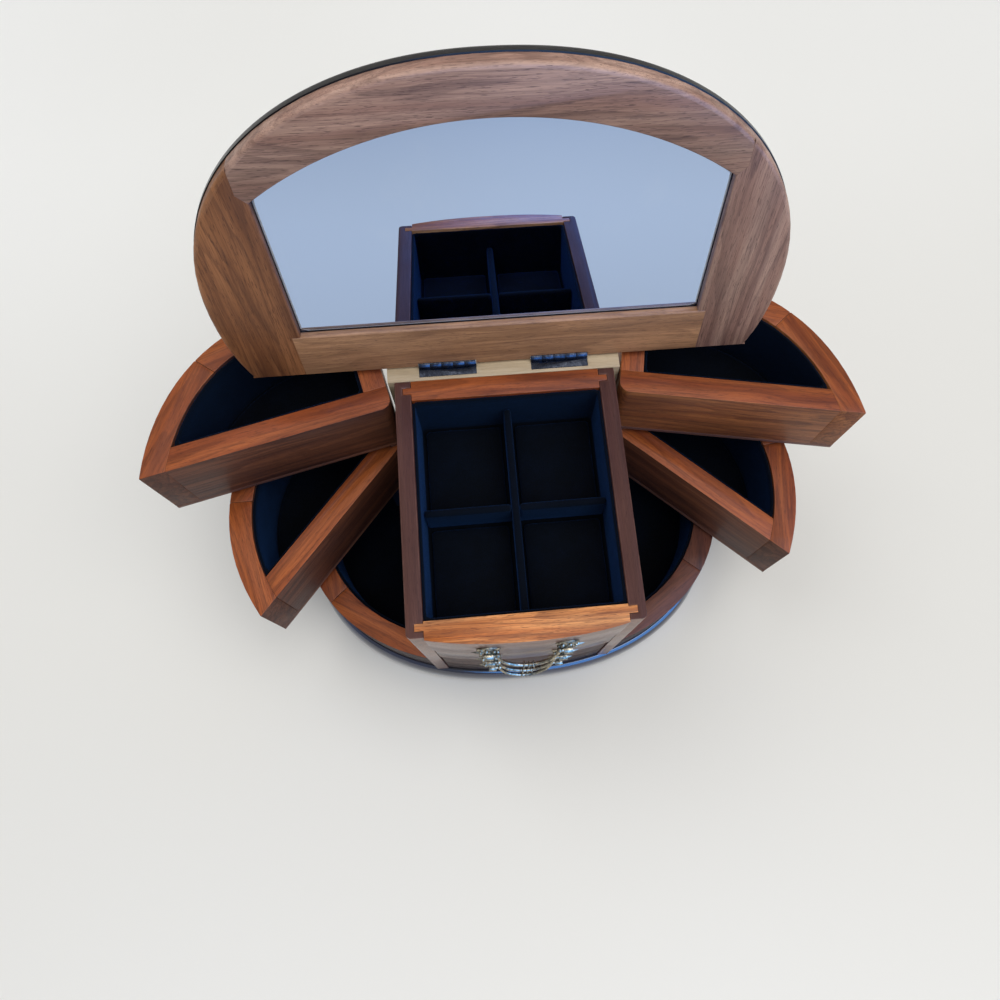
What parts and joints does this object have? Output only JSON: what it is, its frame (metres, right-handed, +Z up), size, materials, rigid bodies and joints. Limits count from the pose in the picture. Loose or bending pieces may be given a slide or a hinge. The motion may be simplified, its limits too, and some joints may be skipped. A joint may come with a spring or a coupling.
{
  "type": "jewellery box with mirror lid and swing-out trays",
  "caption": "Half-oval wooden jewellery box with a mirror in its hinged lid, a centre column with two drawers, and swing-out velvet-lined trays on both sides.",
  "frame": {"origin": "middle of the underside of the felt, in the plane of the surface it stands on", "axes": "+Z up, the drawers and handles face -Y, +X to the right seen from the front"},
  "size_m": [0.3702, 0.2044, 0.3065],
  "materials": {
    "velvet": "matt cut pile",
    "felt": "matt",
    "gloss_black_wood": "high gloss",
    "mahogany_rim": "satin",
    "mahogany_face": "satin",
    "dark_cheek": "satin",
    "cream_wood": "matt",
    "plain_board": "matt",
    "walnut_frame": "satin",
    "dark_panel": "high gloss",
    "mirror_glass": "polished",
    "card": "matt",
    "black_steel": "blackened",
    "bright_steel": "turned",
    "antique_brass": "aged"
  },
  "bodies": {
    "root": {"felt_pad": "felt", "plinth": "gloss_black_wood", "base_wall_left": "mahogany_rim", "base_wall_right": "mahogany_rim", "base_back_walls": "mahogany_rim", "pivot_blocks": "mahogany_face", "base_front": "mahogany_face", "base_lining": "velvet", "cheeks": "dark_cheek", "back_board": "cream_wood", "top_front": "mahogany_rim", "back_rail": "mahogany_rim", "column_boards": "plain_board", "top_lining": "velvet", "dividers": "velvet", "top_posts": "antique_brass", "pivot_rods": "bright_steel", "rod_collars": "bright_steel", "hinge_base_leaves": "black_steel", "hinge_pins_and_screws": "black_steel"},
    "lid": {"lid_panel": "dark_panel", "lid_top_rail": "walnut_frame", "lid_left_stile": "walnut_frame", "lid_right_stile": "walnut_frame", "lid_bottom_rail": "walnut_frame", "mirror": "mirror_glass", "mirror_card": "card", "hinge_lid_leaves": "black_steel", "lid_leaf_screws": "black_steel"},
    "upper_drawer": {"upper_drawer_front": "mahogany_face", "upper_drawer_box": "plain_board", "upper_drawer_lining": "velvet", "upper_drawer_posts": "antique_brass"},
    "lower_drawer": {"lower_drawer_front": "mahogany_face", "lower_drawer_box": "plain_board", "lower_drawer_lining": "velvet", "lower_drawer_posts": "antique_brass"},
    "top_bail": {"top_bail": "antique_brass"},
    "upper_drawer_bail": {"upper_drawer_bail": "antique_brass"},
    "lower_drawer_bail": {"lower_drawer_bail": "antique_brass"},
    "upper_left_tray": {"upper_left_inner_wall": "mahogany_face", "upper_left_outer_wall": "mahogany_rim", "upper_left_back_wall": "mahogany_rim", "upper_left_floor": "plain_board", "upper_left_lining": "velvet"},
    "upper_right_tray": {"upper_right_inner_wall": "mahogany_face", "upper_right_outer_wall": "mahogany_rim", "upper_right_back_wall": "mahogany_rim", "upper_right_floor": "plain_board", "upper_right_lining": "velvet"},
    "lower_left_tray": {"lower_left_inner_wall": "mahogany_face", "lower_left_outer_wall": "mahogany_rim", "lower_left_back_wall": "mahogany_rim", "lower_left_floor": "plain_board", "lower_left_lining": "velvet"},
    "lower_right_tray": {"lower_right_inner_wall": "mahogany_face", "lower_right_outer_wall": "mahogany_rim", "lower_right_back_wall": "mahogany_rim", "lower_right_floor": "plain_board", "lower_right_lining": "velvet"}
  },
  "joints": [
    {"name": "lid_hinge", "type": "hinge", "parent": "root", "child": "lid", "pos_m": [0, 0.0732, 0.1612], "axis": [-1, 0, 0], "range_deg": [-101.8, 0]},
    {"name": "upper_drawer_slide", "type": "slide", "parent": "root", "child": "upper_drawer", "axis": [0, -1, 0], "range_m": [0, 0.08]},
    {"name": "lower_drawer_slide", "type": "slide", "parent": "root", "child": "lower_drawer", "axis": [0, -1, 0], "range_m": [0, 0.08]},
    {"name": "top_bail_swing", "type": "hinge", "parent": "root", "child": "top_bail", "pos_m": [0, -0.0765, 0.14133], "axis": [-1, 0, 0], "range_deg": [0, 65]},
    {"name": "upper_drawer_bail_swing", "type": "hinge", "parent": "upper_drawer", "child": "upper_drawer_bail", "pos_m": [0, -0.0755, 0.104], "axis": [-1, 0, 0], "range_deg": [0, 65]},
    {"name": "lower_drawer_bail_swing", "type": "hinge", "parent": "lower_drawer", "child": "lower_drawer_bail", "pos_m": [0, -0.0745, 0.06667], "axis": [-1, 0, 0], "range_deg": [0, 65]},
    {"name": "upper_left_swing", "type": "hinge", "parent": "root", "child": "upper_left_tray", "pos_m": [-0.0661, 0.0574, 0.1121], "axis": [0, 0, -1], "range_deg": [-76.8, 5.2]},
    {"name": "upper_right_swing", "type": "hinge", "parent": "root", "child": "upper_right_tray", "pos_m": [0.0661, 0.0574, 0.1121], "axis": [0, 0, 1], "range_deg": [-79.7, 2.3]},
    {"name": "lower_left_swing", "type": "hinge", "parent": "root", "child": "lower_left_tray", "pos_m": [-0.0661, 0.0574, 0.0619], "axis": [0, 0, -1], "range_deg": [-40.3, 41.7]},
    {"name": "lower_right_swing", "type": "hinge", "parent": "root", "child": "lower_right_tray", "pos_m": [0.0661, 0.0574, 0.0619], "axis": [0, 0, 1], "range_deg": [-47.3, 34.7]}
  ]
}
